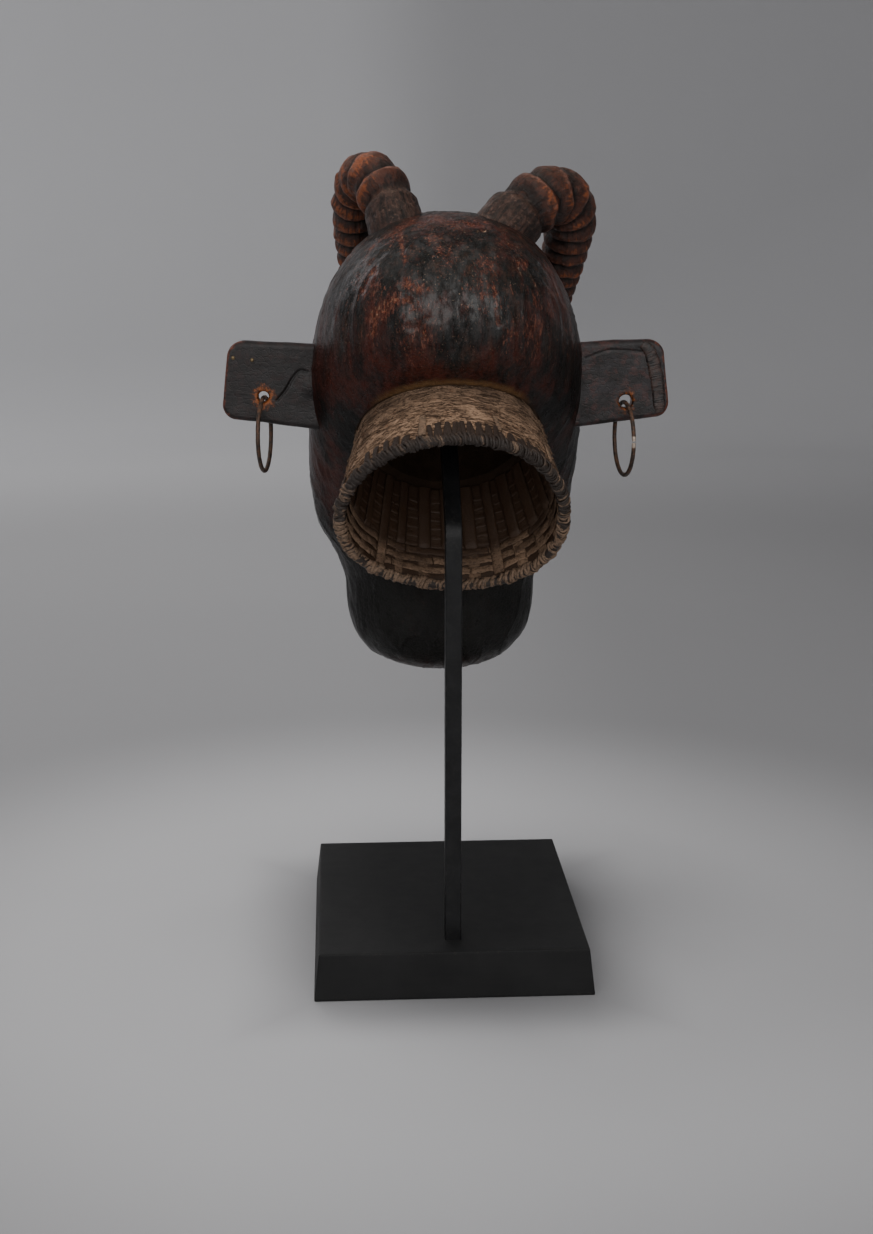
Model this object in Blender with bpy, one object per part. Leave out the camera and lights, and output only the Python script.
"""A horned wooden cap mask on its display stand. Metres, +Z up, the face looks along -Y.

The origin is the centre of the underside of the stand's block. "Left" is the mask's own left, at +X.
"""

import math

import bmesh
import bpy
import numpy as np
from mathutils import Matrix, Vector

# Clearances between pieces that touch
SEAT_GAP = 0.0003
CUT_OVERRUN = 0.004

# Stand: a painted block with sides that flare towards the floor, and a bent square bar
BASE_WIDTH = 0.200
BASE_DEPTH = 0.235
BASE_HEIGHT = 0.0353
BASE_FLARE = 0.004
BASE_EDGE = 0.0010
ROD_SIDE = 0.012
ROD_BEND_RADIUS = 0.014
ROD_BASE_SOCKET = 0.018
ROD_HEAD_SOCKET = 0.030
ROD_RIM_INSET = 0.0030
ROD_BEND_BELOW_RIM = 0.0105

# Head: its own height, width and reach before and behind the crown
HEAD_CLEARANCE = 0.1677
HEAD_HEIGHT = 0.362
HEAD_WIDTH = 0.2070
HEAD_BACK_REACH = 0.108
HEAD_FRONT_REACH = 0.145
FACE_COLUMNS = 38
BACK_COLUMNS = 14
HEAD_ROWS = 38
LEAST_ROW_STEP = 0.0035

# Cap: a woven frustum that leaves the nape at a slant, with a bound hoop at its mouth
CAP_SLANT = math.radians(40.5)
CAP_STAND_OFF = 0.060
CAP_DEPTH = 0.080
CAP_WALL = 0.005
CAP_INNER_END_RADIUS = 0.0665
RIM_RADIUS = 0.0809
RIM_THICKNESS = 0.0085
CAP_SIDES = 36
CAVITY_DEPTH = 0.122
CAVITY_LEDGE = 0.006

# Ears: planks let into the sides of the head
EAR_LENGTH = 0.070
EAR_THICKNESS = 0.012
EAR_ROOT_HEIGHT = 0.064
EAR_TIP_HEIGHT = 0.058
EAR_RISE = 0.0065
EAR_SLANT = 0.004
EAR_TENON = 0.016
EAR_TOP_CORNER = 0.010
EAR_LOW_CORNER = 0.007
EAR_DEPTH_PLACE = 0.010
EAR_EDGE = 0.0016

# Ear rings: bent wire, hung through the ears' holes. The hang is a share of the wire's play in its hole
RING_RADIUS = 0.0275
RING_WIRE = 0.0032
RING_HANG = 0.30
RING_STEPS = 26
RING_SECTION_SIDES = 5
LEFT_HOLE = 0.0075
LEFT_HOLE_OUT = 0.0395
LEFT_HOLE_DOWN = 0.0055
LEFT_RING_TURN = math.radians(-8)
RIGHT_HOLE = 0.0100
RIGHT_HOLE_OUT = 0.0375
RIGHT_HOLE_DOWN = 0.0105
RIGHT_RING_TURN = math.radians(6)

# Horns: thickness at the root and at the tip, and the depth of their ridges
LEFT_HORN_ROOT = 0.0188
RIGHT_HORN_ROOT = 0.0215
HORN_TIP_RADIUS = 0.0050
HORN_RIDGE = 0.0022
HORN_RIDGES = 15
HORN_PLAIN_ROOT = 0.14
HORN_PLAIN_TIP = 0.88
HORN_CROWDING = 0.38
HORN_SEATED = 0.30
HORN_SIDES = 12
HORN_STEPS = 400

# Carving of the face
EYE_PLACE = 0.041
EYE_HALF_LENGTH = 0.025
EYE_HALF_HEIGHT = 0.0115
BROW_ARCH = 0.008
NOSE_BRIDGE_HALF = 0.0085
NOSE_FOOT_HALF = 0.0170
MOUTH_HALF_LENGTH = 0.040
LIP_HEIGHT = 0.0085

# Heights on the head as shares of its height, from the jaw's end up
NAPE = 0.5285
EYE = 0.500
BROW = 0.566
NOSTRIL = 0.315
MOUTH = 0.205
EAR_LEVEL = 0.649

# Outlines of the head: (share of height, share of the half width or of the reach)
SIDE_OUTLINE = (
    (0.0, 0.705),
    (0.163, 0.730),
    (0.215, 0.745),
    (0.275, 0.830),
    (0.335, 0.935),
    (0.400, 0.978),
    (0.460, 0.995),
    (0.566, 1.0),
    (1.0, 1.0),
)
BACK_OUTLINE = (
    (0.0, -0.26),
    (0.163, -0.25),
    (0.290, -0.15),
    (0.387, 0.03),
    (0.533, 0.449),
    (0.627, 0.730),
    (0.680, 0.873),
    (0.738, 0.972),
    (0.807, 1.0),
    (1.0, 1.0),
)
FRONT_OUTLINE = (
    (0.0, 0.99),
    (0.150, 1.0),
    (0.268, 0.955),
    (0.351, 0.880),
    (0.461, 0.825),
    (0.545, 0.820),
    (0.627, 0.835),
    (1.0, 0.835),
)
CROWN_PLACE = -0.005
JAW_PLACE = -0.075
SECTION_POWER = 2 / 2.35

# Where each outline starts to round over to its pole, as a share of the way there, and how squarely
SIDE_CROWN = (0.566, 2.4)
SIDE_JAW = (0.837, 2.6)
BACK_CROWN = (0.807, 2.2)
BACK_JAW = (0.837, 2.4)
FRONT_CROWN = (0.627, 2.2)
FRONT_JAW = (0.860, 2.4)

# Routes of the horns from the crown: shares of the half width, of the head's height down from the crown,
# and of the reach forwards
LEFT_HORN_ROUTE = (
    (0.326, 0.069, -0.055),
    (0.384, -0.006, 0.041),
    (0.440, -0.040, 0.124),
    (0.530, -0.070, 0.248),
    (0.605, -0.052, 0.386),
    (0.640, -0.003, 0.495),
    (0.638, 0.056, 0.600),
    (0.630, 0.120, 0.700),
    (0.630, 0.200, 0.820),
    (0.645, 0.275, 0.940),
    (0.690, 0.312, 1.060),
)
RIGHT_HORN_ROUTE = (
    (-0.316, 0.065, -0.072),
    (-0.540, 0.000, 0.041),
    (-0.675, -0.022, 0.097),
    (-0.795, -0.034, 0.166),
    (-0.895, -0.018, 0.248),
    (-0.945, 0.014, 0.331),
    (-0.945, 0.055, 0.414),
    (-0.925, 0.102, 0.500),
    (-0.895, 0.157, 0.600),
    (-0.850, 0.224, 0.710),
    (-0.800, 0.287, 0.830),
    (-0.765, 0.322, 0.980),
)

HEAD_FLOOR = BASE_HEIGHT + HEAD_CLEARANCE
HEAD_TOP = HEAD_FLOOR + HEAD_HEIGHT
HALF_WIDTH = HEAD_WIDTH / 2
CAP_INWARD = Vector((0.0, -math.cos(CAP_SLANT), math.sin(CAP_SLANT)))
CAP_UP = Vector((0.0, math.sin(CAP_SLANT), math.cos(CAP_SLANT)))


def clear_scene():
    for obj in list(bpy.data.objects):
        bpy.data.objects.remove(obj, do_unlink=True)


def finish(name, color, roughness, metallic=0.0):
    """A plain Principled material."""
    material = bpy.data.materials.new(name)
    material.use_nodes = True
    shader = material.node_tree.nodes["Principled BSDF"]
    shader.inputs["Base Color"].default_value = (*color, 1.0)
    shader.inputs["Roughness"].default_value = roughness
    shader.inputs["Metallic"].default_value = metallic
    return material


def piece(name, bm, material=None, smooth_angle=40):
    """Turns a bmesh into an object with its normals out and its round faces smooth."""
    bmesh.ops.recalc_face_normals(bm, faces=bm.faces)
    mesh = bpy.data.meshes.new(name)
    bm.to_mesh(mesh)
    bm.free()
    mesh.shade_smooth()
    mesh.set_sharp_from_angle(angle=math.radians(smooth_angle))
    obj = bpy.data.objects.new(name, mesh)
    bpy.context.scene.collection.objects.link(obj)
    if material:
        mesh.materials.append(material)
    return obj


def cut(target, cutter):
    """Cuts one object from another and keeps the cutter as a wire guide."""
    cutter.hide_render = True
    cutter.display_type = "WIRE"
    modifier = target.modifiers.new(f"cut {cutter.name}", "BOOLEAN")
    modifier.operation = "DIFFERENCE"
    modifier.solver = "EXACT"
    modifier.object = cutter


def loft(rings, start="face", end="face"):
    """A closed skin through rings of points. An end is a face or a pole, and both are "loop" on a ring."""
    bm = bmesh.new()
    rows = [[bm.verts.new(point) for point in ring] for ring in rings]
    pairs = list(zip(rows, rows[1:]))
    if start == "loop":
        pairs.append((rows[-1], rows[0]))
    for low, high in pairs:
        for i in range(len(low)):
            j = (i + 1) % len(low)
            bm.faces.new((low[i], low[j], high[j], high[i]))
    for row, way in ((rows[0], start), (rows[-1], end)):
        if way == "face":
            bm.faces.new(row)
        elif way != "loop":
            pole = bm.verts.new(way)
            for i in range(len(row)):
                bm.faces.new((row[i], row[(i + 1) % len(row)], pole))
    return bm


def ring_points(place, radius, sides, wobble=lambda angle: 1.0):
    """A ring about the Z axis of a placement matrix."""
    angles = [2 * math.pi * i / sides for i in range(sides)]
    return [
        place @ Vector((radius * wobble(a) * math.cos(a), radius * wobble(a) * math.sin(a), 0.0))
        for a in angles
    ]


def ease(share):
    share = min(max(share, 0.0), 1.0)
    return share * share * (3 - 2 * share)


def bell(distance, reach):
    """One at no distance, falling smoothly to nothing at the reach."""
    share = min(abs(distance) / reach, 1.0)
    return (1 - share * share) ** 2


def outline(stations, share):
    """A smooth curve through a few stations that never swings past them."""
    x = np.array([station[0] for station in stations])
    y = np.array([station[1] for station in stations])
    slope = np.diff(y) / np.diff(x)
    tangent = np.concatenate([slope[:1], (slope[1:] + slope[:-1]) / 2, slope[-1:]])
    tangent[1:-1][slope[1:] * slope[:-1] <= 0] = 0.0
    share = min(max(share, x[0]), x[-1])
    i = min(int(np.searchsorted(x, share, side="right")) - 1, len(x) - 2)
    step = x[i + 1] - x[i]
    t = (share - x[i]) / step
    return float(
        y[i] * (1 + 2 * t) * (1 - t) ** 2
        + y[i + 1] * t * t * (3 - 2 * t)
        + step * (tangent[i] * t * (1 - t) ** 2 - tangent[i + 1] * t * t * (1 - t))
    )


def rounding(share, start, power):
    """How far an outline still stands out at a share of the way from its start to the pole."""
    way = min(max((share - start) / (1 - start), 0.0), 1.0)
    return max(1 - way**power, 0.0) ** (1 / power)


def head_section(height):
    """Half width, middle and half depth of the head at a share of its height."""
    width = HALF_WIDTH * outline(SIDE_OUTLINE, height)
    width *= rounding(height, *SIDE_CROWN) * rounding(1 - height, *SIDE_JAW)
    pole = CROWN_PLACE if height > NAPE else JAW_PLACE
    reach_back = HEAD_BACK_REACH * outline(BACK_OUTLINE, height) - pole
    reach_front = -HEAD_FRONT_REACH * outline(FRONT_OUTLINE, height) - pole
    reach_back *= rounding(height, *BACK_CROWN) * rounding(1 - height, *BACK_JAW)
    reach_front *= rounding(height, *FRONT_CROWN) * rounding(1 - height, *FRONT_JAW)
    back = pole + reach_back
    front = pole + reach_front
    return width, (back + front) / 2, (back - front) / 2


def signed_power(value, power):
    return math.copysign(abs(value) ** power, value)


def head_side_reach(depth, height):
    """How far from the middle plane the head's side lies, at a place along Y and a share of its height."""
    width, middle, half_depth = head_section(height)
    way = min(abs(depth - middle) / half_depth, 1.0)
    return width * (1 - way ** (2 / SECTION_POWER)) ** (SECTION_POWER / 2)


def face_relief(x, height):
    """How far the carving stands forward of the plain oval: brow, eyes, nose ridge, lips and chin."""
    out = abs(x)
    up = height * HEAD_HEIGHT
    brow_line = BROW * HEAD_HEIGHT + BROW_ARCH * (1 - ((out - EYE_PLACE) / EYE_PLACE) ** 2)
    brow = 0.0095 * bell(up - brow_line, 0.013) * ease((0.93 * HALF_WIDTH - out) / 0.020)
    eye_up = up - EYE * HEAD_HEIGHT
    socket = -0.0125 * bell(math.hypot((out - EYE_PLACE) / 0.040, (eye_up - 0.002) / 0.027), 1.0)
    lid_span = (abs(out - EYE_PLACE) / EYE_HALF_LENGTH) ** 1.7 + (eye_up / EYE_HALF_HEIGHT) ** 2
    lid = 0.0120 * max(1 - lid_span, 0.0) ** 0.5
    way = (BROW - height) / (BROW - NOSTRIL)
    nose_half = NOSE_BRIDGE_HALF + (NOSE_FOOT_HALF - NOSE_BRIDGE_HALF) * ease(way)
    nose_ends = ease((way + 0.10) / 0.16) * ease((1.10 - way) / 0.12)
    nose = (0.011 + 0.012 * ease(way)) * bell(x, 1.55 * nose_half) * nose_ends
    wing_up = up - NOSTRIL * HEAD_HEIGHT - 0.005
    wing = 0.0065 * bell(math.hypot(out - 0.8 * NOSE_FOOT_HALF, wing_up), 0.012)
    mouth_up = up - MOUTH * HEAD_HEIGHT
    lips = 0.0085 * (bell(mouth_up - LIP_HEIGHT, LIP_HEIGHT) + bell(mouth_up + LIP_HEIGHT, LIP_HEIGHT))
    slit = -0.0045 * bell(mouth_up, 0.4 * LIP_HEIGHT)
    mouth_ends = ease((MOUTH_HALF_LENGTH - out) / 0.014)
    chin = 0.0050 * bell(math.hypot(out / 0.045, (mouth_up + 0.036) / 0.026), 1.0)
    return brow + socket + lid + nose + wing + (lips + slit) * mouth_ends + chin


def head_point(turn, height):
    """A point of the head. The turn runs round from the middle of the face."""
    width, middle, half_depth = head_section(height)
    x = width * signed_power(math.sin(turn), SECTION_POWER)
    y = middle - half_depth * signed_power(math.cos(turn), SECTION_POWER)
    forward = ease((math.cos(turn) - 0.10) / 0.30)
    y -= face_relief(x, height) * forward
    return Vector((x, y, HEAD_FLOOR + height * HEAD_HEIGHT))


def head_turns():
    """Angles round the head from the middle of the face, closest together there."""
    half_face = FACE_COLUMNS // 2
    half_back = BACK_COLUMNS // 2
    reaches = [math.sin(math.pi / 2 * (i / half_face) ** 1.25) for i in range(half_face + 1)]
    face = [math.asin(reach ** (1 / SECTION_POWER)) for reach in reaches]
    back = [math.pi / 2 * (1 + i / half_back) for i in range(1, half_back)]
    half = face[1:] + back
    return [0.0, *half, math.pi, *(2 * math.pi - angle for angle in reversed(half))]


def carved_rows():
    """Heights in metres above the jaw's end where the face's carving turns."""
    lid = EYE_HALF_HEIGHT
    turns = (
        (BROW * HEAD_HEIGHT + BROW_ARCH / 2, (-0.012, -0.004, 0.004, 0.012)),
        (EYE * HEAD_HEIGHT, (-lid, -lid / 2, 0.0, lid / 2, lid)),
        (NOSTRIL * HEAD_HEIGHT, (-0.012, -0.005, 0.002, 0.010)),
        (MOUTH * HEAD_HEIGHT, (-2 * LIP_HEIGHT, -LIP_HEIGHT, -0.4 * LIP_HEIGHT, 0.0)),
        (MOUTH * HEAD_HEIGHT, (0.4 * LIP_HEIGHT, LIP_HEIGHT, 2 * LIP_HEIGHT)),
    )
    return sorted(level + step for level, steps in turns for step in steps)


def head_heights():
    """Shares of the head's height for its rows: close near both ends, and at each turn of the carving."""
    shares = [i / HEAD_ROWS for i in range(1, HEAD_ROWS)]
    plain = [0.58 * share + 0.42 * (0.5 - 0.5 * math.cos(math.pi * share)) for share in shares]
    carved = [row / HEAD_HEIGHT for row in carved_rows()]
    step = LEAST_ROW_STEP / HEAD_HEIGHT
    return sorted(carved + [row for row in plain if min(abs(row - other) for other in carved) > step])


def cap_placement(distance):
    """A matrix whose Z axis points into the head, a distance in from the middle of the cap's mouth."""
    nape = Vector((0.0, HEAD_BACK_REACH * outline(BACK_OUTLINE, NAPE), HEAD_FLOOR + NAPE * HEAD_HEIGHT))
    place = Matrix((Vector((1.0, 0.0, 0.0)), CAP_UP, CAP_INWARD)).transposed().to_4x4()
    place.translation = nape + CAP_INWARD * (distance - CAP_STAND_OFF)
    return place


def rim_wobble(angle):
    """The mouth was bound by hand and isn't a true circle."""
    oval = 0.0155 * math.cos(2 * angle - 1.90)
    three_sided = 0.0203 * math.cos(3 * angle + 0.92)
    four_sided = 0.0100 * math.cos(4 * angle + 3.08)
    return 1 + oval + three_sided + four_sided


def cap_radius(distance):
    """Outer radius of the cap's wall, a distance in from its mouth."""
    mouth = RIM_RADIUS + CAP_WALL / 2
    return mouth + (CAP_INNER_END_RADIUS - mouth) * distance / CAP_DEPTH


def cap_ring(distance, radius):
    fade = 1 - min(max(distance / CAP_DEPTH, 0.0), 1.0)
    return ring_points(
        cap_placement(distance), radius, CAP_SIDES, lambda a: 1 + (rim_wobble(a) - 1) * fade
    )


def make_cap():
    start = RIM_THICKNESS / 2 + SEAT_GAP
    stops = [start + (CAP_DEPTH - start) * i / 3 for i in range(4)]
    outer = [cap_ring(stop, cap_radius(stop)) for stop in stops]
    inner = [cap_ring(stop, cap_radius(stop) - CAP_WALL) for stop in reversed(stops)]
    bm = loft(outer + inner, "loop", "loop")
    return piece("cap_basket", bm, finish("cane_splint", (0.16, 0.10, 0.055), 0.85))


def make_rim():
    """The hoop: a round section carried round the mouth."""
    rings = []
    section_sides = 8
    for i in range(section_sides):
        angle = 2 * math.pi * (i + 0.5) / section_sides
        out = RIM_THICKNESS / 2 * math.cos(angle)
        along = RIM_THICKNESS / 2 * math.sin(angle)
        rings.append(ring_points(cap_placement(along), RIM_RADIUS + out, CAP_SIDES, rim_wobble))
    bm = loft(rings, "loop", "loop")
    return piece("cap_rim", bm, finish("bound_cane", (0.13, 0.085, 0.05), 0.8), 60)


def cap_socket():
    """The rebate that the cap seats in, cut from outside the nape."""
    floor = CAP_DEPTH + SEAT_GAP
    rings = [
        cap_ring(stop, cap_radius(stop) + SEAT_GAP) for stop in (-CUT_OVERRUN, floor / 2, floor)
    ]
    return piece("cap_socket_cutter", loft(rings))


def cap_cavity():
    """The hollow for the wearer's crown, behind the cap's inner end."""
    mouth = CAP_INNER_END_RADIUS - CAP_WALL - CAVITY_LEDGE
    depth = CAVITY_DEPTH - CAP_DEPTH
    rings = [cap_ring(CAP_DEPTH - CUT_OVERRUN, mouth)]
    for i in range(5):
        angle = math.pi / 2 * i / 5
        rings.append(cap_ring(CAP_DEPTH + depth * math.sin(angle), mouth * math.cos(angle) ** 0.6))
    bm = loft(rings, "face", cap_placement(CAVITY_DEPTH).translation)
    return piece("cap_cavity_cutter", bm)


def ear_root(side):
    """Where the plank leaves the head: the least reach of the head's side over the plank's root."""
    half = EAR_ROOT_HEIGHT / 2 / HEAD_HEIGHT
    levels = (EAR_LEVEL - half, EAR_LEVEL, EAR_LEVEL + half)
    reach = min(head_side_reach(EAR_DEPTH_PLACE, level) for level in levels)
    return Vector((side * reach, EAR_DEPTH_PLACE, HEAD_FLOOR + EAR_LEVEL * HEAD_HEIGHT))


def ear_slab(side, grow=0.0):
    """The plank, or with some growth the mortise that it fits."""
    root = ear_root(side)
    top = (EAR_LENGTH - EAR_SLANT - EAR_TOP_CORNER, EAR_RISE + EAR_TIP_HEIGHT / 2 - EAR_TOP_CORNER)
    bottom = (EAR_LENGTH - EAR_LOW_CORNER, EAR_RISE - EAR_TIP_HEIGHT / 2 + EAR_LOW_CORNER)
    points = []
    for i in range(5):
        angle = math.radians(90 - 22.5 * i)
        radius = EAR_TOP_CORNER + grow
        points.append((top[0] + radius * math.cos(angle), top[1] + radius * math.sin(angle)))
    for i in range(4):
        angle = math.radians(-30 * i)
        radius = EAR_LOW_CORNER + grow
        points.append((bottom[0] + radius * math.cos(angle), bottom[1] + radius * math.sin(angle)))
    low_root = -EAR_ROOT_HEIGHT / 2 - grow
    points.append((-EAR_TENON - grow, low_root))
    points.append((-EAR_TENON - grow, EAR_ROOT_HEIGHT / 2 + grow))
    rings = []
    for face in (-1, 1):
        y = face * (EAR_THICKNESS / 2 + grow)
        rings.append([root + Vector((side * x, y, z)) for x, z in points])
    return loft(rings)


def hole_cutter(name, centre, width):
    """A round hole through the plank, front to back."""
    rings = []
    for end in (-1, 1):
        y = end * (EAR_THICKNESS / 2 + CUT_OVERRUN)
        turn = Matrix.Rotation(math.pi / 2, 4, "X")
        place = Matrix.Translation(centre + Vector((0.0, y, 0.0))) @ turn
        rings.append(ring_points(place, width / 2, 12))
    return piece(f"{name}_hole_cutter", loft(rings))


def ear_hole_centre(side):
    out, down = (LEFT_HOLE_OUT, LEFT_HOLE_DOWN) if side > 0 else (RIGHT_HOLE_OUT, RIGHT_HOLE_DOWN)
    return ear_root(side) + Vector((side * out, 0.0, -down))


def make_ear(name, side, hole):
    ear = piece(name, ear_slab(side), finish(f"{name}_wood", (0.035, 0.022, 0.016), 0.45), 30)
    bevel = ear.modifiers.new("worn edges", "BEVEL")
    bevel.width = EAR_EDGE
    bevel.segments = 1
    bevel.limit_method = "ANGLE"
    bevel.angle_limit = math.radians(50)
    cut(ear, hole_cutter(name, ear_hole_centre(side), hole))
    return ear


def make_ring(name, side, hole, turn):
    """A wire ring that rests on the lower edge of the ear's hole."""
    low_wire = hole / 2 - RING_WIRE / 2 - SEAT_GAP
    drop = RING_RADIUS + RING_HANG * low_wire
    centre = ear_hole_centre(side) - Vector((0.0, 0.0, drop))
    place = Matrix.Translation(centre) @ Matrix.Rotation(turn, 4, "Z") @ Matrix.Rotation(math.pi / 2, 4, "Y")
    rings = []
    for i in range(RING_SECTION_SIDES):
        angle = 2 * math.pi * i / RING_SECTION_SIDES
        out = RING_WIRE / 2 * math.cos(angle)
        along = RING_WIRE / 2 * math.sin(angle)
        shifted = place @ Matrix.Translation((0.0, 0.0, along))
        rings.append(ring_points(shifted, RING_RADIUS + out, RING_STEPS))
    bm = loft(rings, "loop", "loop")
    return piece(name, bm, finish(f"{name}_iron", (0.06, 0.045, 0.035), 0.6, 0.8), 80)


def smooth_route(points, count):
    """Points at even shares along a smooth curve through the given ones."""
    route = [points[0] * 2 - points[1], *points, points[-1] * 2 - points[-2]]
    fine = []
    for p, q, r, s in zip(route, route[1:], route[2:], route[3:]):
        for k in range(12):
            t = k / 12
            fine.append(
                (q * 2 + (r - p) * t + (p * 2 - q * 5 + r * 4 - s) * t * t + (q * 3 - p - r * 3 + s) * t**3)
                / 2
            )
    fine.append(points[-1])
    lengths = np.array([0.0, *np.cumsum([(b - a).length for a, b in zip(fine, fine[1:])])])
    even = np.linspace(0.0, lengths[-1], count)
    columns = [np.interp(even, lengths, [point[i] for point in fine]) for i in range(3)]
    return [Vector(point) for point in zip(*columns)]


def horn_points(route):
    """A horn's route in metres."""
    return [
        Vector((x * HALF_WIDTH, -forward * HEAD_FRONT_REACH, HEAD_TOP - down * HEAD_HEIGHT))
        for x, down, forward in route
    ]


def horn_radius(share, root_radius):
    """The horn's plain taper: slow over the first half, then quickly thinner."""
    taper = 1 - 0.38 * share - 0.62 * share**2.2
    return HORN_TIP_RADIUS + (root_radius - HORN_TIP_RADIUS) * max(taper, 0.0)


def ridge_way(share):
    """How far along the ridged stretch a share of the horn's length lies."""
    return (share - HORN_PLAIN_ROOT) / (HORN_PLAIN_TIP - HORN_PLAIN_ROOT)


def ridge_phase(way):
    """How many ridges lie before a place. They crowd together towards the tip."""
    return HORN_RIDGES * ((1 - HORN_CROWDING) * way + HORN_CROWDING * way**2)


def ridge_profile(share):
    """Ridges that die out before the tip."""
    way = ridge_way(share)
    if not 0 <= way <= 1:
        return 0.0
    return (0.5 - 0.5 * math.cos(2 * math.pi * ridge_phase(way))) * ease((1 - way) / 0.25)


def horn_stops():
    """Shares of the length at each ridge's foot and crest, with plain stretches at both ends."""
    even = np.linspace(0.0, 1.0, HORN_STEPS)
    halves = np.interp(np.arange(0, 2 * HORN_RIDGES + 1) / 2, ridge_phase(ridge_way(even)), even)
    root = [0.0, HORN_PLAIN_ROOT / 3, HORN_PLAIN_ROOT * 2 / 3]
    tip = [HORN_PLAIN_TIP + (1 - HORN_PLAIN_TIP) * way for way in (0.35, 0.62, 0.84)]
    return [*root, *halves.tolist(), *tip]


def frames_along(points):
    """A placement at each point whose Z axis follows the route, with no twist."""
    frames = []
    tangents = [
        (points[min(i + 1, len(points) - 1)] - points[max(i - 1, 0)]).normalized()
        for i in range(len(points))
    ]
    across = tangents[0].orthogonal().normalized()
    for point, tangent in zip(points, tangents):
        across = (across - tangent * across.dot(tangent)).normalized()
        frame = Matrix((across, tangent.cross(across), tangent)).transposed().to_4x4()
        frame.translation = point
        frames.append(frame)
    return frames


def horn_frames(route):
    return frames_along(smooth_route(horn_points(route), HORN_STEPS + 1))


def horn_rings(frames, root_radius, grow=0.0, until=1.0):
    """Rings along a horn, up to a share of its length."""
    rings = []
    for share in horn_stops():
        if share > until:
            break
        radius = horn_radius(share, root_radius) + HORN_RIDGE * ridge_profile(share) + grow
        rings.append(ring_points(frames[round(share * HORN_STEPS)], radius, HORN_SIDES))
    return rings


def make_horn(name, route, root_radius):
    bm = loft(horn_rings(horn_frames(route), root_radius), "face", horn_points(route)[-1])
    return piece(name, bm, finish(f"{name}_wood", (0.12, 0.045, 0.02), 0.55), 35)


def horn_socket(name, route, root_radius):
    """The blind hole in the crown that takes the horn's root."""
    frames = horn_frames(route)
    rings = horn_rings(frames, root_radius, SEAT_GAP, HORN_SEATED)
    floor = frames[0] @ Matrix.Translation((0.0, 0.0, -SEAT_GAP))
    rings.insert(0, ring_points(floor, root_radius + SEAT_GAP, HORN_SIDES))
    return piece(f"{name}_socket_cutter", loft(rings))


def rod_route():
    """The bar's centre line: up from the block, then bent over into the cap and the head."""
    mouth = cap_placement(0.0).translation
    y = mouth.y - ROD_RIM_INSET
    bend = Vector((0.0, y, mouth.z - ROD_BEND_BELOW_RIM))
    aim = cap_placement(CAVITY_DEPTH).translation
    leaning = (aim - bend).normalized()
    foot = Vector((0.0, y, BASE_HEIGHT - ROD_BASE_SOCKET))
    top = aim + leaning * ROD_HEAD_SOCKET
    return foot, bend, top, leaning


def rod_rings(extra, ends):
    """Square sections along the bar, with a growth for its sockets."""
    foot, bend, top, leaning = rod_route()
    upright = Vector((0.0, 0.0, 1.0))
    half_turn = math.acos(upright.dot(leaning)) / 2
    reach = ROD_BEND_RADIUS * math.tan(half_turn)
    centre = bend - upright * reach + Vector((0.0, -ROD_BEND_RADIUS, 0.0))
    stops = [(foot - upright * ends, upright)]
    for i in range(5):
        angle = 2 * half_turn * i / 4
        out = Vector((0.0, math.cos(angle), math.sin(angle)))
        stops.append((centre + out * ROD_BEND_RADIUS, Vector((0.0, -math.sin(angle), math.cos(angle)))))
    stops.append((top + leaning * ends, leaning))
    half = ROD_SIDE / 2 + extra
    corners = ((1, 1), (-1, 1), (-1, -1), (1, -1))
    rings = []
    for point, along in stops:
        depth = Vector((0.0, along.z, -along.y))
        side = Vector((1.0, 0.0, 0.0))
        rings.append([point + side * half * a + depth * half * b for a, b in corners])
    return rings


def make_rod():
    steel = finish("blackened_steel", (0.02, 0.021, 0.024), 0.45, 0.6)
    return piece("stand_rod", loft(rod_rings(0.0, 0.0)), steel, 30)


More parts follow.
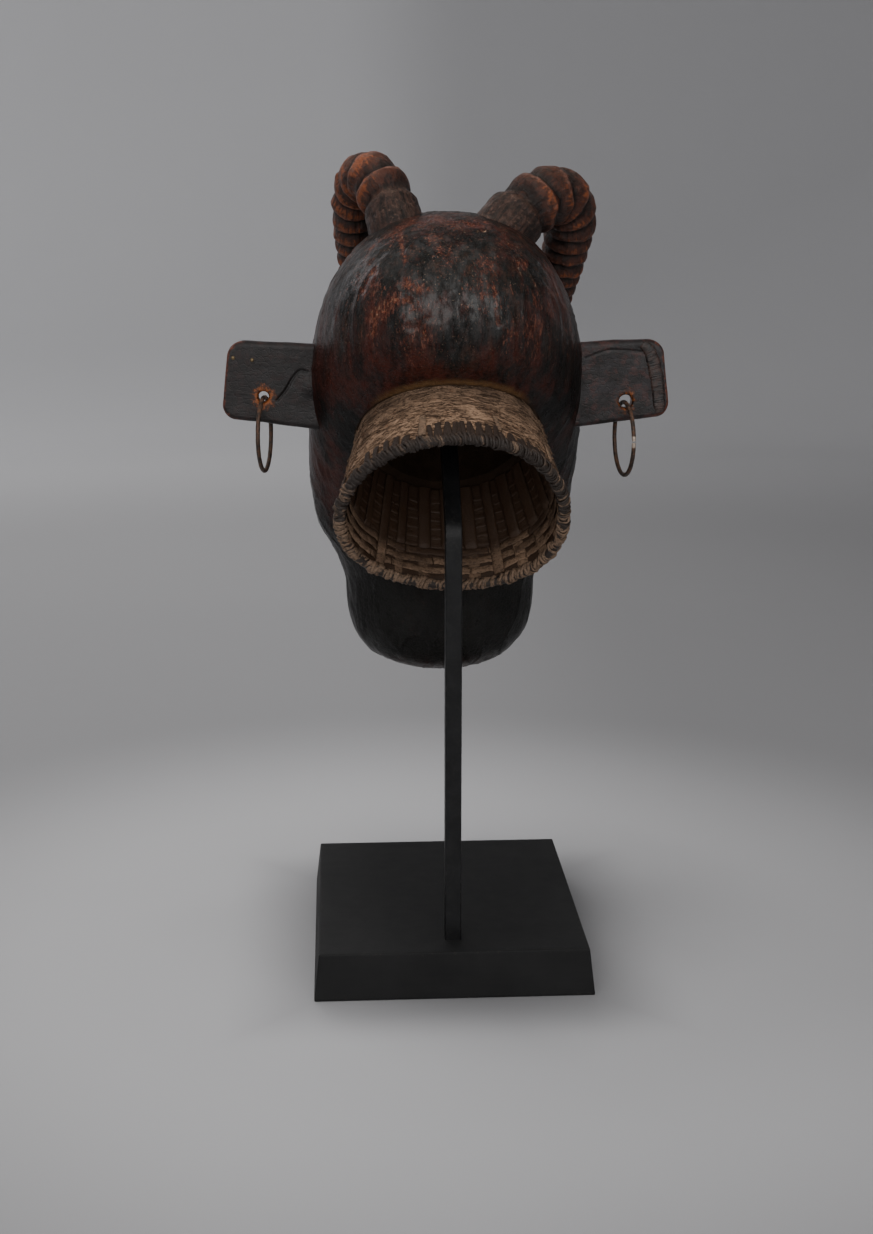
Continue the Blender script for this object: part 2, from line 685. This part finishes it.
def rod_cutter(name):
    return piece(name, loft(rod_rings(SEAT_GAP, SEAT_GAP)))


def make_base():
    low_x = BASE_WIDTH / 2 + BASE_FLARE
    low_y = BASE_DEPTH / 2 + BASE_FLARE
    corners = ((1, 1), (-1, 1), (-1, -1), (1, -1))
    bottom = [Vector((low_x * a, low_y * b, 0.0)) for a, b in corners]
    top = [Vector((BASE_WIDTH / 2 * a, BASE_DEPTH / 2 * b, BASE_HEIGHT)) for a, b in corners]
    base = piece("stand_base", loft([bottom, top]), finish("black_paint", (0.022, 0.023, 0.026), 0.5), 30)
    bevel = base.modifiers.new("eased edges", "BEVEL")
    bevel.width = BASE_EDGE
    bevel.segments = 1
    cut(base, rod_cutter("base_socket_cutter"))
    return base


def make_head():
    rings = [[head_point(turn, height) for turn in head_turns()] for height in head_heights()]
    jaw_end = Vector((0.0, JAW_PLACE, HEAD_FLOOR))
    crown = Vector((0.0, CROWN_PLACE, HEAD_TOP))
    hide = finish("hide_covered_wood", (0.03, 0.02, 0.016), 0.4)
    head = piece("mask_head", loft(rings, jaw_end, crown), hide, 50)
    cut(head, cap_socket())
    cut(head, cap_cavity())
    cut(head, rod_cutter("head_rod_cutter"))
    for name, side in (("left_ear", 1), ("right_ear", -1)):
        cut(head, piece(f"{name}_mortise_cutter", ear_slab(side, SEAT_GAP)))
    cut(head, horn_socket("left_horn", LEFT_HORN_ROUTE, LEFT_HORN_ROOT))
    cut(head, horn_socket("right_horn", RIGHT_HORN_ROUTE, RIGHT_HORN_ROOT))
    return head


def main():
    clear_scene()
    make_base()
    make_rod()
    make_head()
    make_cap()
    make_rim()
    make_horn("left_horn", LEFT_HORN_ROUTE, LEFT_HORN_ROOT)
    make_horn("right_horn", RIGHT_HORN_ROUTE, RIGHT_HORN_ROOT)
    make_ear("left_ear", 1, LEFT_HOLE)
    make_ear("right_ear", -1, RIGHT_HOLE)
    make_ring("left_ear_ring", 1, LEFT_HOLE, LEFT_RING_TURN)
    make_ring("right_ear_ring", -1, RIGHT_HOLE, RIGHT_RING_TURN)


main()
